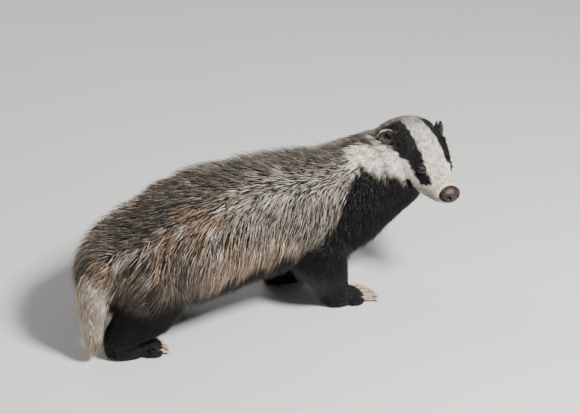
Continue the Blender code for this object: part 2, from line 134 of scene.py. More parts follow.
def smooth_rows(rows, count):
    """The stations resampled to count rows on one smooth curve through them."""
    steps = np.linalg.norm(np.diff(rows[:, :3], axis=0), axis=1)
    knots = np.concatenate([[0], np.cumsum(np.sqrt(steps))])
    padded = np.vstack([2 * rows[0] - rows[1], rows, 2 * rows[-1] - rows[-2]])
    ends = np.concatenate([[2 * knots[0] - knots[1]], knots, [2 * knots[-1] - knots[-2]]])
    made = []
    for at in np.linspace(0, knots[-1], count):
        i = min(int(np.searchsorted(knots, at, side="right")) - 1, len(knots) - 2)
        p, t = padded[i : i + 4], ends[i : i + 4]
        a = [((t[k + 1] - at) * p[k] + (at - t[k]) * p[k + 1]) / (t[k + 1] - t[k]) for k in range(3)]
        b = [((t[k + 2] - at) * a[k] + (at - t[k]) * a[k + 1]) / (t[k + 2] - t[k]) for k in range(2)]
        made.append(((t[2] - at) * b[0] + (at - t[1]) * b[1]) / (t[2] - t[1]))
    return np.array(made)


def new_object(name, points, faces):
    """A mesh object from points in millimetres, its faces turned outwards."""
    mesh = bpy.data.meshes.new(name)
    mesh.from_pydata([Vector(p) * MM for p in points], [], faces)
    obj = bpy.data.objects.new(name, mesh)
    bpy.context.scene.collection.objects.link(obj)
    bm = bmesh.new()
    bm.from_mesh(mesh)
    bmesh.ops.recalc_face_normals(bm, faces=bm.faces)
    bm.to_mesh(mesh)
    bm.free()
    return obj


def loft(name, rows, side_hint, sides=40, square=2.15, depth=SKIN_DEPTH):
    """A closed tube through the rows, drawn in by depth times the coat."""
    points, faces = [], []
    hint = Vector(side_hint)
    for row, way in zip(rows, np.gradient(rows[:, :3], axis=0)):
        way = Vector(way).normalized()
        side = (hint - way * hint.dot(way)).normalized()
        up = way.cross(side)
        wide, tall = (max(half - depth * row[5], 2.0) for half in row[3:5])
        for k in range(sides):
            c, s = math.cos(2 * math.pi * k / sides), math.sin(2 * math.pi * k / sides)
            across = side * wide * math.copysign(abs(c) ** (2 / square), c)
            points.append(Vector(row[:3]) + across + up * tall * math.copysign(abs(s) ** (2 / square), s))
    for r in range(len(rows) - 1):
        for k in range(sides):
            n = (k + 1) % sides
            faces.append((r * sides + k, r * sides + n, (r + 1) * sides + n, (r + 1) * sides + k))
    faces.append(tuple(reversed(range(sides))))
    faces.append(tuple(range((len(rows) - 1) * sides, len(rows) * sides)))
    return new_object(name, points, faces)


def applied(obj):
    """obj with its modifiers applied."""
    mesh = bpy.data.meshes.new_from_object(obj.evaluated_get(bpy.context.evaluated_depsgraph_get()))
    obj.modifiers.clear()
    obj.data = mesh
    return obj


def fused(objects, name, voxel, rounds):
    """One closed skin round all the objects, smoothed where they meet."""
    bm = bmesh.new()
    for obj in objects:
        bm.from_mesh(obj.data)
        bpy.data.objects.remove(obj)
    mesh = bpy.data.meshes.new(name)
    bm.to_mesh(mesh)
    bm.free()
    made = bpy.data.objects.new(name, mesh)
    bpy.context.scene.collection.objects.link(made)
    remesh = made.modifiers.new("fuse", "REMESH")
    remesh.mode = "VOXEL"
    remesh.voxel_size = voxel * MM
    smooth = made.modifiers.new("soften", "SMOOTH")
    smooth.factor = 0.5
    smooth.iterations = rounds
    return applied(made)


def ball(name, place, radii, around=24):
    """An ellipsoid in place, a matrix in millimetres."""
    bm = bmesh.new()
    bmesh.ops.create_uvsphere(bm, u_segments=around, v_segments=around // 2 + 2, radius=1)
    bm.transform(Matrix.Scale(MM, 4) @ place @ Matrix.Diagonal((*radii, 1)))
    mesh = bpy.data.meshes.new(name)
    bm.to_mesh(mesh)
    bm.free()
    made = bpy.data.objects.new(name, mesh)
    bpy.context.scene.collection.objects.link(made)
    return made


def cut_from(obj, cutters):
    """obj less the cutters, which are then removed."""
    for cutter in cutters:
        boolean = obj.modifiers.new("cut", "BOOLEAN")
        boolean.operation = "DIFFERENCE"
        boolean.solver = "MANIFOLD"
        boolean.object = cutter
        applied(obj)
        bpy.data.objects.remove(cutter)
    return obj


def turned(angle, axis):
    return Matrix.Rotation(math.radians(angle), 4, axis)


HEAD_PLACE = (
    Matrix.Translation(NOSE_TIP)
    @ turned(HEAD_TURN, "Z")
    @ turned(-HEAD_NOD, "Y")
    @ turned(HEAD_LEAN, "X")
)
HEAD_TURNED = np.array(HEAD_PLACE.to_3x3())


def head_rows():
    """The head's stations as rows in the body's frame."""
    rows = smooth_rows(HEAD, 40)
    rows[:, 0] *= -1
    rows[:, :3] = rows[:, :3] @ HEAD_TURNED.T + np.array(NOSE_TIP, float)
    return rows


HEAD_SIDE = HEAD_TURNED @ np.array((0, 1, 0))
print("head turned", HEAD_TURN, "degrees from the body")

# %% [markdown]
# ## One skin for all the flesh
# Trunk, legs and tail are fused first and smoothed well. Head, ears, paws, lids and lips are
# finer, so they join in a second, finer fusing with only a little smoothing. The sockets and the
# mouth line are cut last, where a remesh would blur them.

# %% The parts of the head and the feet
EYE_AT, EYE_BALL, LID_BALL = (-56.5, 22.0, 17.0), 6.6, 8.4
EAR_AT, EAR_SIZE = (-125, 46, 31), (6.3, 14.5, 15.5)
NOSE_AT, NOSE_SIZE = (-8.5, 0, 0.5), (11.5, 17.0, 13.6)


def head_place(at, side=1):
    return HEAD_PLACE @ Matrix.Translation((at[0], at[1] * side, at[2]))


def eye_place(side):
    turn = turned(side * 58, "Z") @ turned(-18, "Y") @ turned(-side * 14, "X")
    return head_place(EYE_AT, side) @ turn


def ear_place(side):
    turn = turned(side * 38, "Z") @ turned(-side * 36, "X") @ turned(-20, "Y")
    return head_place(EAR_AT, side) @ turn


def toe_places(foot):
    """The place of each toe's pad, from the inner to the outer toe, and the foot's own place."""
    x, y, turn, long, wide, tall, toe, toe_long, claw, spread = foot
    side_in = 1 if y < 0 else -1
    base = Matrix.Translation((x, y, 0)) @ turned(turn, "Z")
    toes = []
    for k in range(5):
        share = k / 2 - 1
        forward = long / 2 - toe - 7.0 * share**2 + 3.0 * share
        across = -side_in * share * (wide / 2 - toe * 0.8)
        place = Matrix.Translation((forward, across, toe * 0.9))
        toes.append(base @ place @ turned(-side_in * share * 9.0 * spread, "Z"))
    return toes, base


def paw_balls(foot):
    long, wide, tall, toe, toe_long = foot[3:8]
    toes, base = toe_places(foot)
    sole = base @ Matrix.Translation((-5, 0, tall * 0.44))
    made = [ball("pad", sole, (long * 0.46 - 1, wide / 2 - 1, tall / 2 - 1))]
    made += [ball("toe", place, (toe_long * 0.75, toe - 0.8, toe - 0.8)) for place in toes]
    return made


def head_section(behind):
    """Half width, half height and middle height of the skin so far behind the nose tip."""
    wide, tall, middle, coat = (float(np.interp(behind, HEAD[:, 0], HEAD[:, k])) for k in (3, 4, 2, 5))
    return wide - SKIN_DEPTH * coat, tall - SKIN_DEPTH * coat, middle


def mouth_tube(name, drop, out, radius):
    """A round bar along the mouth line from corner to corner."""
    rows = []
    for k in range(-12, 13):
        share = abs(k) / 12
        behind = 10.5 + 43.5 * share**1.4
        wide, tall, middle = head_section(behind)
        z = -11.5 - 0.10 * behind - drop
        level = min(abs(z - middle) / tall, 0.98)
        side = (wide * (1 - level**2.15) ** (1 / 2.15) + out) * min(share / 0.34, 1) ** 0.55
        thick = radius * (1 - 0.45 * share**3)
        rows.append((-behind + (1.2 + out) * (k == 0), math.copysign(side, k), z, thick, thick, 0))
    bar = loft(name, np.array(rows), (0.02, 0, 1), sides=8, square=2.0)
    bar.data.transform(Matrix.Scale(MM, 4) @ HEAD_PLACE @ Matrix.Scale(1 / MM, 4))
    return bar


print("toes:", sum(len(toe_places(foot)[0]) for foot in FEET.values()))

# %% Fuse the skin
body = fused(
    [loft("trunk", smooth_rows(TRUNK, 80), (0, 1, 0)), loft("tail", smooth_rows(TAIL, 30), (0, 1, 0))]
    + [loft("leg", smooth_rows(leg, 34), (0, 1, 0)) for leg in LEGS.values()],
    "body", 3.2, 30,
)
finer = [loft("head", head_rows(), HEAD_SIDE, sides=64)]
for side in (1, -1):
    shell = ball("ear", ear_place(side), EAR_SIZE, 32)
    cup = ear_place(side) @ Matrix.Translation((7.0, 0, 1.0))
    finer.append(cut_from(shell, [ball("cup", cup, (8.0, 11.3, 12.4), 32)]))
    finer.append(ball("lid", eye_place(side), (LID_BALL,) * 3, 32))
finer += [mouth_tube("lip", -2.3, -0.9, 2.4), mouth_tube("lip", 2.2, -1.1, 2.0)]
for foot in FEET.values():
    finer += paw_balls(foot)
skin = fused([body] + finer, "skin", 2.4, 2)
sockets = [mouth_tube("mouth", 0, 0.6, 1.1)]
sockets.append(ball("bed", head_place(NOSE_AT), [r + 0.3 for r in NOSE_SIZE], 40))
for side in (1, -1):
    sockets.append(ball("socket", eye_place(side), (EYE_BALL + 0.3,) * 3, 40))
    opening = eye_place(side) @ Matrix.Translation((EYE_BALL, 0, 0.3))
    sockets.append(ball("opening", opening, (9.0, 6.4, 3.6), 40))
cut_from(skin, sockets)
SHIFT = np.array((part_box("eye_left")[0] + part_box("eye_left")[1]) / 2)
SHIFT -= np.array(eye_place(1).translation) * MM


def points_of(mesh):
    co = np.empty(len(mesh.vertices) * 3, np.float32)
    mesh.vertices.foreach_get("co", co)
    return co.reshape(-1, 3).astype(float)


co = points_of(skin.data)
co[:, 2] = np.maximum(co[:, 2], SOLE * MM)
skin.data.vertices.foreach_set("co", co.astype(np.float32).ravel())
skin.data.shade_smooth()
print("skin faces:", len(skin.data.polygons), "shift", np.round(SHIFT, 4))

# %% [markdown]
# ## Reading the body: which part, how deep the coat, which way the hair lies
# Hair on a badger runs from the nose back over the head, back and down over the flanks, and
# straight down the legs and tail. For any point these helpers find the nearest tubes and blend
# their coat depth and direction, so nothing changes suddenly where a leg meets the trunk.

# %% Fields over the body
CHEEKS = head_rows()
TUBES = [(smooth_rows(TRUNK, 60), -1), (CHEEKS, 1), (smooth_rows(TAIL, 24), 1)]
TUBES += [(smooth_rows(leg, 24), 1) for leg in LEGS.values()]
WAYS = []
for rows, sign in TUBES:
    way = np.gradient(rows[:, :3], axis=0) * sign
    WAYS.append(way / np.linalg.norm(way, axis=1)[:, None])


def unit(v):
    return v / np.maximum(np.linalg.norm(v, axis=-1, keepdims=True), 1e-9)


def noise(p, size, seed=0):
    """A smooth wandering value from -1 to 1 over points, with patches about size across."""
    turns = np.random.default_rng(seed)
    total = np.zeros(len(p))
    for k in range(7):
        way = turns.normal(size=3)
        way *= turns.uniform(3.0, 8.0) / size / np.linalg.norm(way)
        total += np.sin(p @ way + turns.uniform(0, 6.3))
    return np.clip(total / 2.6, -1, 1)


def step(value, low, high):
    """0 below low, 1 above high and a smooth rise between."""
    t = np.clip((value - low) / (high - low), 0, 1)
    return t * t * (3 - 2 * t)


def read_body(p):
    """For points in millimetres: the share of each tube, the coat's depth and the hair's way."""
    near, coats, ways = [], [], []
    for (rows, sign), way in zip(TUBES, WAYS):
        radius = (rows[:, 3] + rows[:, 4]) / 2 - SKIN_DEPTH * rows[:, 5]
        far = np.linalg.norm(p[:, None, :] - rows[None, :, :3], axis=2) - radius[None, :]
        best = far.argmin(axis=1)
        near.append(far[np.arange(len(p)), best])
        coats.append(rows[best, 5])
        ways.append(way[best])
    near = np.array(near)
    share = np.exp(-0.12 * (near - near.min(axis=0)))
    share /= share.sum(axis=0)
    coat = (share * np.array(coats)).sum(axis=0)
    centre = np.interp(p[:, 0], TRUNK[:, 0], TRUNK[:, 1])
    side = np.clip(np.abs(p[:, 1] - centre) / 50, 0, 1)
    rump = np.clip((-60 - p[:, 0]) / 110, 0, 1)
    shoulder = step(p[:, 0], 60, 160)
    drop = (1.2 - 0.35 * shoulder) * side + 1.1 * rump
    ways[0] = unit(ways[0] + np.array([[0, 0, -1]]) * drop[:, None])
    for k, foot in enumerate(FEET.values()):
        turn = math.radians(foot[2])
        ahead = np.array([[math.cos(turn), math.sin(turn), -0.35]])
        high = step(p[:, 2], 66, 112)[:, None]
        ways[3 + k] = unit(ways[3 + k] * (1 - high) + np.array([[-0.5, 0, -0.85]]) * high)
        low = step(-p[:, 2], -46, -22)[:, None]
        ways[3 + k] = unit((ways[3 + k] + np.array([[-0.25, 0, 0]])) * (1 - low) + ahead * low)
    way = unit((share[:, :, None] * np.array(ways)).sum(axis=0))
    return share, coat, way


def head_reading(p):
    """Behind the nose tip, to the left, and the angle from the crown round to the chin."""
    own = (p - np.array(NOSE_TIP, float)) @ HEAD_TURNED
    behind = -own[:, 0]
    middle = np.interp(behind, HEAD[:, 0], HEAD[:, 2])
    return behind, own[:, 1], np.degrees(np.arctan2(np.abs(own[:, 1]), own[:, 2] - middle))


def trunk_angle(p):
    """The angle round the trunk from the top of the back, 0, to the middle of the belly, 180."""
    centre = np.interp(p[:, 0], TRUNK[:, 0], TRUNK[:, 1])
    height = np.interp(p[:, 0], TRUNK[:, 0], TRUNK[:, 2])
    return np.degrees(np.arctan2(np.abs(p[:, 1] - centre), p[:, 2] - height))


print("tubes read:", len(TUBES))

# %% [markdown]
# ## The badger's markings
# Two black stripes run from the muzzle through the eyes and over the ears. Between them the face
# is white, and below them the cheeks are white back onto the neck. Throat, chest, belly and legs
# are black, and the back and flanks are grizzled: each hair is pale with a black band and a pale
# tip. One function gives these colours to every tuft, and to the skin beneath as a darkened copy,
# which is painted shade between the tufts.

# %% Colours by place
WHITE, BLACK = (0.87, 0.79, 0.64), (0.007, 0.006, 0.006)
PALE, DARK = (0.45, 0.40, 0.33), (0.016, 0.0135, 0.0125)
TAN, BROWN, CREAM = (0.62, 0.46, 0.335), (0.31, 0.19, 0.10), (0.80, 0.69, 0.54)
BLACK_FROM = np.array([
    (-214, 118), (-157, 114), (-109, 119), (-73, 115), (0, 112), (40, 110), (82, 108), (113, 99),
    (142, 84), (153, 69), (168, 54), (186, 42), (201, 38), (213, 47), (227, 58), (243, 70),
    (259, 82), (290, 95)], float)


def mixed(colours, other, share):
    return colours * (1 - share[:, None]) + np.array(other) * share[:, None]


def markings(p):
    """For points in millimetres: the pale and the dark colour of the hair, and how banded it is."""
    behind, left, angle = head_reading(p)
    share = read_body(p)[0]
    ragged = noise(p, 26, 1) + 0.6 * noise(p, 9, 2)
    fine = noise(p, 12, 3)
    round_trunk = trunk_angle(p) + 5 * ragged
    pale = np.tile(np.array(PALE), (len(p), 1))
    dark = np.tile(np.array(DARK), (len(p), 1))
    banded = np.ones(len(p))
    flank = step(round_trunk, 80, 94) * step(p[:, 0], -120, -60) * (1 - step(p[:, 0], 50, 95))
    pale = mixed(pale, TAN, 0.85 * flank)
    dark = mixed(dark, (0.16, 0.12, 0.085), 0.7 * flank)
    back = 1 - step(round_trunk - 14 * step(-p[:, 0], -20, 90), 8, 42)
    pale = mixed(pale, (0.11, 0.09, 0.072), 0.85 * back)
    brown = step(-p[:, 0], -30, 60) * step(round_trunk, 14, 40) * (1 - step(round_trunk, 84, 100))
    brown *= step(noise(p * (1, 1, 0.5), 26, 4), -0.6, 0.4)
    pale = mixed(pale, BROWN, 0.8 * brown)
    haunch = step(-p[:, 0], 60, 150) * step(round_trunk, 50, 110) * (1 - share[2])
    pale = mixed(pale, (0.22, 0.16, 0.105), 0.75 * haunch)
    limit = np.interp(p[:, 0], BLACK_FROM[:, 0], BLACK_FROM[:, 1])
    pale = mixed(pale, (0.06, 0.047, 0.038), 0.75 * step(-p[:, 0], 50, 110) * step(round_trunk - limit, -44, -6))
    black = step(round_trunk - limit, -3, 5)
    legs = share[3:].sum(axis=0)
    black = np.maximum(black, legs * step(-p[:, 2], -96, -74))
    tail = step(share[2], 0.35, 0.75) * step(-p[:, 2], -138, -112)
    pale = mixed(pale, CREAM, 0.9 * tail)
    tail_brown = np.maximum(step(-p[:, 0], 238, 250), step(-p[:, 2], -44, -16)) * step(fine, -0.9, 0.4)
    pale = mixed(pale, BROWN, 0.8 * tail * tail_brown)
    dark = mixed(dark, (0.2, 0.13, 0.08), 0.9 * tail)
    black *= 1 - tail
    low = np.array([(155, 40), (170, 44), (201, 37), (213, 45), (227, 53), (243, 62), (262, 72)], float)
    high = np.array([(155, 30), (170, 20), (194, 7), (222, 9), (230, 13), (244, 22), (262, 33)], float)
    centre = np.interp(p[:, 0], TRUNK[:, 0], TRUNK[:, 1])
    under = step(np.interp(p[:, 0], low[:, 0], low[:, 1]) - round_trunk, -4, 4)
    over = step(round_trunk - np.interp(p[:, 0], high[:, 0], high[:, 1]), -4, 4)
    neck = under * over * step(p[:, 0] + 9 * ragged, 166, 192) * (p[:, 1] < centre)
    neck *= step(-p[:, 0], -282, -262)
    far_neck = step(angle + 3 * ragged, 64, 72) * step(-angle - 3 * ragged, -112, -100)
    far_neck *= (left > 0) * step(-behind - 9 * ragged, -190, -165) * step(p[:, 0], 200, 225)
    on_head = step(-behind, -172, -150) * step(-np.abs(left), -84, -70)
    neck = np.maximum(neck, far_neck) * (1 - on_head)
    across = np.abs(left - np.interp(behind, (60, 130), (1.0, 4.0))) + 1.3 * fine
    inner = np.interp(behind, (20, 30, 45, 62, 90, 129, 165), (26, 19, 19.5, 18.5, 20, 17, 14))
    outer = np.interp(behind, (24, 34, 46, 65, 85, 102, 126, 168), (60, 78, 92, 72, 65, 64, 69, 70))
    stripe = step(across - inner, -1.6, 1.6) * step(outer - angle - 2.5 * fine, -3, 3)
    stripe *= step(behind + 2 * fine, 24, 33)
    chin = np.interp(behind, (45, 62, 66, 75, 100, 168), (190, 120, 102, 97, 98, 98))
    beside = np.interp(np.abs(left), (26, 34, 43, 53, 64, 76), (190, 119, 110, 99, 91, 86))
    throat = step(angle + 3 * fine - np.minimum(chin, beside), -3, 4)
    black = black * (1 - on_head) + on_head * np.maximum(stripe, throat)
    black *= 1 - neck
    white = np.maximum(on_head, neck)
    centre_stripe = on_head * (1 - step(across - inner, -2, 2))
    crown = centre_stripe * step(behind, 118, 142)
    pale = mixed(pale, WHITE, white)
    pale = mixed(pale, (0.3, 0.27, 0.23), 0.8 * crown)
    dark = mixed(dark, (0.20, 0.15, 0.105), white * (1 - 0.3 * crown))
    pale = mixed(pale, BLACK, black)
    dark = mixed(dark, BLACK, black)
    for side in (1, -1):
        own = (p - np.array(ear_place(side).translation)) @ np.array(ear_place(side).to_3x3())
        reach = np.hypot(own[:, 1] / EAR_SIZE[1], own[:, 2] / EAR_SIZE[2])
        on_ear = (np.abs(own[:, 0]) < 9) * (own[:, 2] > -8) * step(-reach, -1.25, -1.12)
        rim = on_ear * step(reach, 0.93, 1.0) * step(own[:, 2], 6, 11)
        cup = on_ear * step(own[:, 0], 1, 4) * step(-reach, -0.75, -0.55) * 0.5
        pale, dark = mixed(pale, BLACK, on_ear), mixed(dark, BLACK, on_ear)
        pale, dark = mixed(pale, (0.16, 0.14, 0.125), cup), mixed(dark, (0.1, 0.09, 0.08), cup)
        pale, dark = mixed(pale, WHITE, rim), mixed(dark, WHITE, rim)
    flecks = (0.12 + 0.16 * centre_stripe) * white
    banded = (1 - black) * ((1 - white) * (1 - 0.5 * tail) + flecks)
    return pale, dark, banded


print("markings over the skin:", np.round(markings(points_of(skin.data) / MM)[0].mean(axis=0), 3))

# %% [markdown]
# ## Growing the coat
# Real fur is millions of hairs, which gather in locks where they lie together. Here each tuft is
# one thin, tapered, curved blade of mesh. Its root sits in the skin, it follows the skin along
# the hair's way and rises to the coat's depth, and neighbouring tips draw together into locks.
# Tufts are longest on flanks and rump, and only a few millimetres on the face and the feet.

# %% Choose where the tufts grow
TUFTS = 148000
skin_points = points_of(skin.data) / MM
skin.data.calc_loop_triangles()
corners = np.empty(len(skin.data.loop_triangles) * 3, np.int32)
skin.data.loop_triangles.foreach_get("vertices", corners)
corners = skin_points[corners.reshape(-1, 3)]
crosses = np.cross(corners[:, 1] - corners[:, 0], corners[:, 2] - corners[:, 0])
areas = np.linalg.norm(crosses, axis=1) / 2
middles = corners.mean(axis=1)
share, coat = read_body(middles)[:2]
behind, left = head_reading(middles)[:2]
bare = np.zeros(len(middles), bool)
for side in (1, -1):
    bare |= np.linalg.norm(middles - np.array(eye_place(side).translation), axis=1) < 10.4
bare |= np.linalg.norm(middles - np.array(head_place(NOSE_AT).translation), axis=1) < 15.0
bare |= (middles[:, 2] < 3.0) & (crosses[:, 2] < 0)
mouth = (np.abs((middles - np.array(NOSE_TIP)) @ HEAD_TURNED[:, 2] + 11.5 + 0.1 * behind) < 1.6)
bare |= mouth & (behind < 56) & (behind > 0) & (np.abs(left) < 40)


def tuft_size(coat):
    """Length and width of a tuft where the coat is this deep."""
    long = np.clip(2.2 + coat * 1.1, 3.8, 40)
    return long, 0.44 + 0.020 * long


lengths, widths = tuft_size(coat)
density = np.minimum(6.0 / (0.5 * lengths * widths), 1.15) * (1 + 0.5 * share[2])
chances = areas * density * ~bare
chosen = np.random.default_rng(3).choice(len(areas), TUFTS, p=chances / chances.sum())
mix = draw.uniform(0, 1, (TUFTS, 2))
mix[mix.sum(axis=1) > 1] = 1 - mix[mix.sum(axis=1) > 1]
a, b, c = corners[chosen, 0], corners[chosen, 1], corners[chosen, 2]
roots = a + (b - a) * mix[:, :1] + (c - a) * mix[:, 1:]
order = np.argsort(roots @ np.array((1.0, 0.15, 0.1)))
roots, normals = roots[order], unit(crosses[chosen][order])
print("tufts:", TUFTS, "skin area in cm2:", round(float(areas.sum()) / 100))

# %% Comb them along the body
surface = BVHTree.FromPolygons([Vector(v) for v in skin_points], [tuple(f.vertices) for f in skin.data.polygons])
share, coat, way = read_body(roots)
for side in (1, -1):
    place = ear_place(side)
    own = (roots - np.array(place.translation)) @ np.array(place.to_3x3())
    on_ear = (np.hypot(own[:, 1] / EAR_SIZE[1], own[:, 2] / EAR_SIZE[2]) < 1.12) & (np.abs(own[:, 0]) < 9)
    upward = np.array(place.to_3x3() @ Vector((0.15, 0, 1)))
    way[on_ear] = upward
    coat[on_ear] = 2.6
way = unit(way - normals * (way * normals).sum(axis=1)[:, None])
bend = draw.normal(0, 0.14, TUFTS) + 0.10 * noise(roots, 60, 8)
across = np.cross(normals, way)
way = unit(way * np.cos(bend)[:, None] + across * np.sin(bend)[:, None])
long, wide = tuft_size(coat)
long *= draw.uniform(0.72, 1.2, TUFTS) * (1 + 0.4 * share[2])
wide *= draw.uniform(0.75, 1.25, TUFTS)
rise = np.maximum(coat * SKIN_DEPTH * draw.uniform(0.62, 1.02, TUFTS), 0.9)
rise *= 1 - 0.1 * noise(roots, 40, 9)
shares = (0.0, 0.5, 1.0)
spine, spine_normals = [roots - normals * 0.6], [normals]
at, last = roots.copy(), 0.0
for t in shares[1:]:
    at = at + way * (long * (t - last))[:, None]
    last = t
    found = [surface.find_nearest(v)[:2] for v in at.tolist()]
    at = np.array([v[0] for v in found])
    normal = np.array([v[1] for v in found])
    way = unit(way - normal * (way * normal).sum(axis=1)[:, None])
    height = rise * t**0.72
    spine.append(at + normal * height[:, None])
    spine_normals.append(normal)
spine = np.array(spine)
print("longest tuft in mm:", round(float(long.max())), "highest tip in mm:", round(float(rise.max())))

# %% Draw neighbouring tips together into locks
leaders = draw.choice(TUFTS, TUFTS // 6, replace=False)
tree = KDTree(len(leaders))
for k, leader in enumerate(leaders):
    tree.insert(roots[leader], k)
tree.balance()
own_leader = leaders[[tree.find(v)[1] for v in roots.tolist()]]
pull = 0.32 * np.clip(long / 25, 0.25, 1.0) * draw.uniform(0.4, 1.2, TUFTS)
for k, share_of in ((1, 0.3), (2, 1.0)):
    toward = spine[k, own_leader] - spine[k]
    far = np.linalg.norm(toward, axis=1)
    limit = np.minimum(1.0, 0.3 * long / np.maximum(far, 1e-6))
    spine[k] += toward * (pull * share_of * limit)[:, None]
spine[:, :, 2] = np.maximum(spine[:, :, 2], SOLE + 1.0)
lock_tone = draw.normal(0, 1, TUFTS)[own_leader]
print("locks:", len(leaders))

# %% [markdown]
# ## Colour along each hair
# A guard hair of the back is cream at the root, black near the end and pale at the very tip,
# which is what makes a badger look grey. Each tuft carries its colours in its points, so the
# bands stay sharp in any view. The root ring is painted far darker than the hair's own colour and
# the tip ring a little lighter: painted shade deep in the coat and painted light at its surface.
# Whole locks are a little lighter or darker than their neighbours.

# %% Colour the tufts and turn them into mesh
shown_at = 0.15 * spine[1] + 0.85 * spine[2]
pale, dark, banded = markings(np.where((coat < 3)[:, None], roots + normals, shown_at))
tone = np.exp(0.16 * lock_tone + 0.26 * draw.normal(0, 1, TUFTS))[:, None]
dark_hair = draw.uniform(0, 1, TUFTS) < (0.56 - 0.10 * lock_tone) * banded
dark_tip = dark_hair & (draw.uniform(0, 1, TUFTS) < 0.6)
strength = np.minimum(banded * 3, 1)
band = (np.where(dark_hair, 0.95, 0.30 * banded) * strength)[:, None]
tip_band = (np.where(dark_tip, 0.92, 0.0) * strength)[:, None]
colours = np.empty((3, TUFTS, 3))
# Painted shade and light along each tuft: the root ring is a darkened copy of the colours, the middle ring is
# dimmed and the tip ring is brightened.
colours[0] = pale * (0.14 + 0.3 * (1 - banded))[:, None] + dark * 0.2
colours[1] = (pale * (1 - band) + dark * band) * tone * 0.9
colours[2] = (pale * (1 - tip_band) + dark * tip_band) * tone * 1.12
colours = np.clip(colours, 0.004, 0.88)
verts, tints = np.empty((TUFTS, 7, 3)), np.ones((TUFTS, 7, 4))
for k, girth in ((0, 0.85), (1, 0.95)):
    along = unit(spine[k + 1] - spine[max(k - 1, 0)])
    flat = unit(np.cross(along, spine_normals[k]))
    over = np.cross(flat, along)
    half = (wide * girth / 2)[:, None]
    verts[:, 3 * k] = spine[k] + flat * half
    verts[:, 3 * k + 1] = spine[k] + over * half * 0.8
    verts[:, 3 * k + 2] = spine[k] - flat * half
    tints[:, 3 * k : 3 * k + 3, :3] = colours[k][:, None, :]
verts[:, 6], tints[:, 6, :3] = spine[2], colours[2]
TUFT_FACES = [(0, 2, 1), (3, 4, 6), (4, 5, 6), (5, 3, 6)]
for i, j in ((0, 1), (1, 2), (2, 0)):
    TUFT_FACES += [(i, j, 3 + j), (i, 3 + j, 3 + i)]
TUFT_FACES = np.array(TUFT_FACES)
print("triangles in a tuft:", len(TUFT_FACES), "in the coat:", len(TUFT_FACES) * TUFTS)

# %% [markdown]
# The coat is split into pieces along the body, so none is too heavy. Each piece has a map named
# OFBake: the skin unrolled along and around its own tubes, where every tuft has a small patch.

# %% Unroll the roots for the map


def unrolled(p):
    """A place from 0 to 1 on the unrolled skin: along the body and round it, a strip per tube."""
    share = read_body(p)[0]
    tube = share.argmax(axis=0)
    strips = ((0.0, 0.40), (0.41, 0.70), (0.71, 0.78), (0.79, 0.84), (0.845, 0.895), (0.90, 0.945), (0.95, 0.99))
    place = np.empty((len(p), 2))
    for k, (rows, sign) in enumerate(TUBES):
        mine = tube == k
        if not mine.any():
            continue
        best = np.linalg.norm(p[mine][:, None] - rows[None, :, :3], axis=2).argmin(axis=1)
        way = WAYS[k][best]
        off = p[mine] - rows[best, :3]
        slide = (off * way).sum(axis=1)
        side = unit(np.cross(way, (0.0, 0.0, 1.0)))
        up = np.cross(side, way)
        round_it = np.arctan2((off * side).sum(axis=1), (off * up).sum(axis=1)) / (2 * math.pi) + 0.5
        pitch = np.linalg.norm(np.diff(rows[:, :3], axis=0), axis=1).mean()
        along = np.clip((best + sign * slide / pitch + 1) / (len(rows) + 1), 0, 1)
        low, high = strips[k]
        place[mine, 0] = 0.003 + 0.99 * along
        place[mine, 1] = low + (high - low) * np.clip(round_it, 0, 1)
    return place


PATCH = np.array([(0, 0), (0.5, 0.1), (1, 0), (0, 0.5), (0.5, 0.6), (1, 0.5), (0.5, 1)])
patches = unrolled(roots)[:, None, :] + PATCH[None] * 0.003
PIECES = 8
coat_pieces = []
bounds = np.linspace(0, TUFTS, PIECES + 1).astype(int)
for k in range(PIECES):
    part = slice(bounds[k], bounds[k + 1])
    count = bounds[k + 1] - bounds[k]
    index = (TUFT_FACES[None] + 7 * np.arange(count)[:, None, None]).reshape(-1, 3)
    mesh = bpy.data.meshes.new(f"coat_{k + 1}")
    mesh.vertices.add(count * 7)
    mesh.vertices.foreach_set("co", (verts[part] * MM).astype(np.float32).ravel())
    mesh.loops.add(len(index) * 3)
    mesh.loops.foreach_set("vertex_index", index.astype(np.int32).ravel())
    mesh.polygons.add(len(index))
    mesh.polygons.foreach_set("loop_start", np.arange(0, len(index) * 3, 3, dtype=np.int32))
    mesh.update(calc_edges=True)
    mesh.validate()
    mesh.attributes.new("hair", "FLOAT_COLOR", "POINT").data.foreach_set("color", tints[part].astype(np.float32).ravel())
    mesh.uv_layers.new(name="OFBake").data.foreach_set(
        "uv", patches[part].reshape(-1, 2)[index.ravel()].astype(np.float32).ravel())
    mesh.shade_smooth()
    piece = bpy.data.objects.new(f"coat_{k + 1}", mesh)
    bpy.context.scene.collection.objects.link(piece)
    coat_pieces.append(piece)
print("coat pieces:", len(coat_pieces), "largest has", max(len(p.data.polygons) for p in coat_pieces), "triangles")

# %% [markdown]
# ## Eyes, lids, nose, claws and whiskers
# These are bare: wet dark eyes between dark lid rims, a moist pebbled nose with comma-shaped
# nostrils, and long horn claws for digging. The eyes and claws of the solids stay, because their
# shape is already right. The nose is made again with a finer surface.

# %% Nose, lid rims and whiskers
nose = ball("nose_pad", head_place(NOSE_AT), NOSE_SIZE, 64)
nostrils = [ball("slot", head_place((1, 0, -10.5)), (5.0, 0.8, 7.0), 24)]
for side in (1, -1):
    turn = turned(side * 24, "Z")
    nostrils.append(ball("nostril", head_place((1.8, 7.2, 0.4), side) @ turn, (4.6, 3.5, 3.7), 32))
    turn = turned(side * 62, "Z") @ turned(side * 14, "X")
    nostrils.append(ball("slit", head_place((-2.6, 13.0, -3.6), side) @ turn, (6.4, 4.6, 1.5), 32))
cut_from(nose, nostrils)
nose.data.shade_smooth()


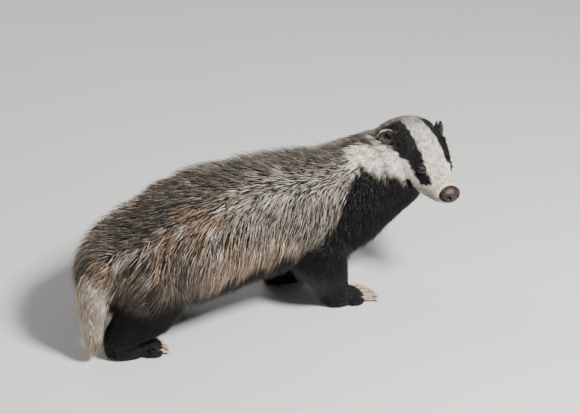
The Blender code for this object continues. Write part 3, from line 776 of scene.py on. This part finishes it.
def tube(name, spines, radii, sides=6):
    """Tapered round bars, each along its own spine of points in millimetres."""
    points, faces = [], []
    for spine, radius in zip(spines, radii):
        spine = np.array(spine, float)
        first = len(points)
        ways = unit(np.gradient(spine, axis=0))
        for at, way, size in zip(spine, ways, radius):
            side = unit(np.cross(way, (0.31, 0.2, 0.93)))
            up = np.cross(side, way)
            for k in range(sides):
                c, s = math.cos(2 * math.pi * k / sides), math.sin(2 * math.pi * k / sides)
                points.append(at + (side * c + up * s) * size)
        for r in range(len(spine) - 1):
            for k in range(sides):
                n = (k + 1) % sides
                low, high = first + r * sides, first + (r + 1) * sides
                faces.append((low + k, low + n, high + n, high + k))
        faces.append(tuple(first + k for k in reversed(range(sides))))
        faces.append(tuple(first + (len(spine) - 1) * sides + k for k in range(sides)))
    made = new_object(name, points, faces)
    made.data.shade_smooth()
    return made


rims = []
for side in (1, -1):
    spines, sizes = [], []
    for upper in (1, -1):
        line = []
        for k in range(17):
            across = -6.6 + 13.2 * k / 16
            high = 0.3 + upper * 3.7 * math.sqrt(max(1 - (across / 6.7) ** 2, 0))
            deep = math.sqrt(max(8.1**2 - across**2 - high**2, 1))
            line.append(eye_place(side) @ Vector((deep, across, high)))
        spines.append(line)
        sizes.append([0.55 + 0.55 * math.sin(math.pi * k / 16) for k in range(17)])
    rims.append(tube(f"lid_rim_{'left' if side == 1 else 'right'}", spines, sizes))

spines, sizes = [], []
for side in (1, -1):
    for k in range(13):
        back, high = 20 + 5.5 * (k % 5) + draw.uniform(-1, 1), -4 - 3.0 * (k // 5) + draw.uniform(-1, 1)
        wide_at, tall_at, middle_at = head_section(back)
        level = min(abs(high - middle_at) / tall_at, 0.9)
        root = Vector((-back, side * (wide_at * (1 - level**2.15) ** 0.465 - 1.0), high))
        reach = draw.uniform(26, 42)
        lean, drop = draw.uniform(0.35, 0.75), draw.uniform(0.05, 0.3)
        line = []
        for t in np.linspace(0, 1, 7):
            out = Vector((-lean * t, side * (0.85 - 0.25 * t) * t, -drop * t - 0.25 * t * t))
            line.append(HEAD_PLACE @ (root + out * reach))
        spines.append(line)
        sizes.append([0.22 * (1 - 0.85 * t) for t in np.linspace(0, 1, 7)])
whiskers = tube("whiskers", spines, sizes, 4)
print("whiskers:", len(spines))

# %% [markdown]
# ## Shader sums in plain expressions
# A small class wraps a node's output, so a mask can be written as 1 - noise * 0.3 and the Math
# nodes are added for it. Every other node comes from one method.

# %% A class for sockets


class Wire:
    """An output socket that can be used in sums."""

    def __init__(self, tree, socket):
        self.tree, self.socket = tree, socket

    def sum_with(self, other, operation, turned_round=False):
        first, second = (other, self) if turned_round else (self, other)
        return self.tree.node("ShaderNodeMath", {"operation": operation}, {0: first, 1: second})

    def __add__(self, other):
        return self.sum_with(other, "ADD")

    __radd__ = __add__

    def __mul__(self, other):
        return self.sum_with(other, "MULTIPLY")

    __rmul__ = __mul__

    def __sub__(self, other):
        return self.sum_with(other, "SUBTRACT")

    def __rsub__(self, other):
        return self.sum_with(other, "SUBTRACT", True)


class Finish:
    """A material with a Principled shader and a way to add any node to it."""

    def __init__(self, name, **constants):
        self.material = bpy.data.materials.new(name)
        self.material.use_nodes = True
        self.nodes = self.material.node_tree.nodes
        self.shader = self.nodes["Principled BSDF"]
        for key, value in constants.items():
            self.shader.inputs[key.replace("_", " ")].default_value = value

    def link(self, socket, value):
        if isinstance(value, Wire):
            self.material.node_tree.links.new(value.socket, socket)
        elif value is not None:
            socket.default_value = value

    def node(self, kind, settings=None, inputs=None, output=0):
        made = self.nodes.new(kind)
        for key, value in (settings or {}).items():
            if key == "stops":
                ramp = made.color_ramp
                for k, (at, colour) in enumerate(value):
                    stop = ramp.elements[k] if k < 2 else ramp.elements.new(at)
                    stop.position, stop.color = at, (*colour, 1)
            else:
                setattr(made, key, value)
        for key, value in (inputs or {}).items():
            self.link(made.inputs[key], value)
        return Wire(self, made.outputs[output])

    def noise(self, scale, detail=3.0, stretch=(1, 1, 1)):
        where = self.node("ShaderNodeTexCoord", output="Object")
        placed = self.node("ShaderNodeMapping", inputs={"Vector": where, "Scale": stretch})
        return self.node("ShaderNodeTexNoise", inputs={"Vector": placed, "Scale": scale, "Detail": detail})

    def tinted(self, colour, amount):
        """colour times a number that varies."""
        return self.node(
            "ShaderNodeVectorMath", {"operation": "SCALE"}, {0: colour, "Scale": amount})

    def set(self, **values):
        for key, value in values.items():
            self.link(self.shader.inputs[key.replace("_", " ")], value)
        return self

    def bump(self, height, strength, distance):
        made = self.node("ShaderNodeBump", inputs={"Height": height, "Strength": strength, "Distance": distance})
        return self.set(Normal=made)


hair = Finish("badger_hair", Roughness=0.35, Specular_IOR_Level=0.32)
strands = hair.noise(420.0, 2.0)
banded_colour = hair.node("ShaderNodeAttribute", {"attribute_name": "hair"}, output="Color")
hair.set(Base_Color=hair.tinted(banded_colour, 0.72 + strands * 0.56), Roughness=0.27 + strands * 0.2)
# The skin's finish carries the darkened copy of the hair colours, which is painted shade between the tufts, over a
# fine underfur noise and bump.
under_fur_and_shade = Finish("under_fur_and_shade", Roughness=0.85, Specular_IOR_Level=0.2)
down = under_fur_and_shade.noise(700.0, 4.0)
shaded_skin_colour = under_fur_and_shade.node("ShaderNodeAttribute", {"attribute_name": "hair"}, output="Color")
under_fur_and_shade.set(Base_Color=under_fur_and_shade.tinted(shaded_skin_colour, 0.6 + down * 0.8)).bump(down, 0.5, 0.0012)
print("finishes:", hair.material.name, under_fur_and_shade.material.name)

# %% [markdown]
# The bare finishes: the nose is dark brown, finely pebbled and moist. The eyes are nearly black
# and wet. Lid rims and whiskers are black, and claws are horn, streaked darker and lighter.

# %% Nose, eye, lid, whisker and claw finishes
nose_skin = Finish("nose_skin", Roughness=0.3, Specular_IOR_Level=0.3)
pebbles = nose_skin.node("ShaderNodeTexVoronoi", inputs={
    "Vector": nose_skin.node("ShaderNodeTexCoord", output="Object"), "Scale": 900.0})
blotch = nose_skin.noise(160.0)
nose_skin.set(Base_Color=nose_skin.node(
    "ShaderNodeValToRGB", {"stops": [(0.3, (0.007, 0.004, 0.003)), (0.75, (0.029, 0.0165, 0.0115))]},
    {"Fac": blotch + pebbles * 0.2 - 0.05}), Roughness=0.24 + pebbles * 0.3)
nose_skin.bump(1 - pebbles, 0.55, 0.0006)
eye_gloss = Finish("eye", Roughness=0.06, Coat_Weight=1.0, Coat_Roughness=0.02, Specular_IOR_Level=0.6)
depth = eye_gloss.noise(260.0)
eye_gloss.set(Base_Color=eye_gloss.node(
    "ShaderNodeValToRGB", {"stops": [(0.35, (0.004, 0.004, 0.006)), (0.8, (0.022, 0.014, 0.010))]},
    {"Fac": depth}))
lid_skin = Finish("lid_skin", Roughness=0.4, Specular_IOR_Level=0.4)
creases = lid_skin.noise(1200.0)
lid_skin.set(Base_Color=lid_skin.node(
    "ShaderNodeValToRGB", {"stops": [(0.35, (0.010, 0.008, 0.008)), (0.8, (0.050, 0.033, 0.028))]},
    {"Fac": creases})).bump(creases, 0.4, 0.0004)
horn = Finish("claw_horn", Roughness=0.42, Specular_IOR_Level=0.45)
layers = horn.noise(110.0, 4.0, (1, 1, 3))
horn.set(Base_Color=horn.node(
    "ShaderNodeValToRGB",
    {"stops": [(0.25, (0.10, 0.07, 0.045)), (0.5, (0.27, 0.20, 0.13)), (0.8, (0.44, 0.36, 0.26))]},
    {"Fac": layers}), Roughness=0.32 + layers * 0.25).bump(layers, 0.35, 0.0006)
whisker_hair = Finish("whisker_hair", Roughness=0.4)
whisker_hair.set(Base_Color=whisker_hair.node(
    "ShaderNodeValToRGB", {"stops": [(0.4, (0.012, 0.011, 0.011)), (0.7, (0.10, 0.09, 0.08))]},
    {"Fac": whisker_hair.noise(60.0)}))
print("bare finishes: nose, eye, lid, claw, whisker")

# %% Put the pieces in place
tinted = markings(points_of(skin.data) / MM)
shaded_skin_tints = np.ones((len(skin.data.vertices), 4))
# The skin under the coat takes a darkened copy of the hair colours: painted shade between the tufts.
shaded_skin_tints[:, :3] = 0.4 * tinted[0] + 0.3 * tinted[1]
skin.data.attributes.new("hair", "FLOAT_COLOR", "POINT").data.foreach_set(
    "color", shaded_skin_tints.astype(np.float32).ravel())
skin.data.shade_smooth()
pieces = [(skin, under_fur_and_shade), (nose, nose_skin), (whiskers, whisker_hair)]
pieces += [(rim, lid_skin) for rim in rims] + [(piece, hair) for piece in coat_pieces]
for piece, finish in pieces:
    piece.data.transform(Matrix.Translation(Vector(SHIFT)))
    piece.data.materials.clear()
    piece.data.materials.append(finish.material)
    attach(piece, "root")
flesh = ["torso", "neck", "head", "tail", "ear_left", "ear_right"]
for side in ("left", "right"):
    flesh += [f"front_leg_{side}", f"front_paw_{side}", f"hind_leg_{side}", f"hind_paw_{side}"]
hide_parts(*flesh)
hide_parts("nose")
for name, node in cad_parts.items():
    if name.startswith("eye"):
        node.data.materials.clear()
        node.data.materials.append(eye_gloss.material)
        node.data.shade_smooth()
    elif "claw" in name:
        node.data.materials.clear()
        node.data.materials.append(horn.material)
        node.data.shade_smooth()
print("pieces placed:", len(pieces))

# %% [markdown]
# ## Floor, light and camera
# A plain pale floor and large soft lamps show the form. The camera stands where the picture was
# taken from: above the animal's right side, a little ahead of it, with a long lens.

# %% Stage
floor_mesh = bpy.data.meshes.new("floor")
floor_mesh.from_pydata([(-6, -6, 0), (6, -6, 0), (6, 6, 0), (-6, 6, 0)], [], [(0, 1, 2, 3)])
floor = bpy.data.objects.new("floor", floor_mesh)
bpy.context.scene.collection.objects.link(floor)
plaster = Finish("pale_floor", Roughness=0.8)
plaster.set(Base_Color=plaster.tinted((0.42, 0.415, 0.405), 0.96 + plaster.noise(3.0) * 0.08))
floor_mesh.materials.append(plaster.material)
floor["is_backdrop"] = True
world = bpy.data.worlds.new("studio")
world.use_nodes = True
world.node_tree.nodes["Background"].inputs["Color"].default_value = (1.0, 0.985, 0.96, 1)
world.node_tree.nodes["Background"].inputs["Strength"].default_value = 0.20
bpy.context.scene.world = world
TARGET = Vector((0.110, 0, 0.153)) + Vector(SHIFT)


def lamp(name, way, far, size, power):
    """A square lamp that far from the animal and turned to it."""
    light = bpy.data.lights.new(name, "AREA")
    light.size, light.energy = size, power
    obj = bpy.data.objects.new(name, light)
    obj.location = TARGET + Vector(way).normalized() * far
    obj.rotation_euler = (TARGET - obj.location).to_track_quat("-Z", "Y").to_euler()
    bpy.context.scene.collection.objects.link(obj)


lamp("key", (0.25, -0.75, 0.85), 2.4, 0.5, 225)
lamp("fill", (-0.9, -0.5, 0.5), 2.6, 1.6, 18)
lamp("back", (-0.2, 0.9, 0.8), 2.6, 1.2, 30)
turn, rise_angle, far = math.radians(-25), math.radians(28), 3.0
camera = bpy.data.objects.new("camera", bpy.data.cameras.new("camera"))
camera.data.lens = 124
camera.location = TARGET + far * Vector((
    math.sin(turn) * math.cos(rise_angle), -math.cos(turn) * math.cos(rise_angle), math.sin(rise_angle)))
camera.rotation_euler = (TARGET - camera.location).to_track_quat("-Z", "Y").to_euler()
bpy.context.scene.collection.objects.link(camera)
bpy.context.scene.camera = camera
print("camera height:", round(camera.location.z, 2))

# %% The sizes of the solids and of the dressed animal
sizes = {"cad": [list(v) for v in CAD_BOX], "visual": [list(v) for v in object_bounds()]}
print("visual box less the solids' box in mm:", np.round((np.array(sizes["visual"]) - np.array(sizes["cad"])) * 1000, 1))
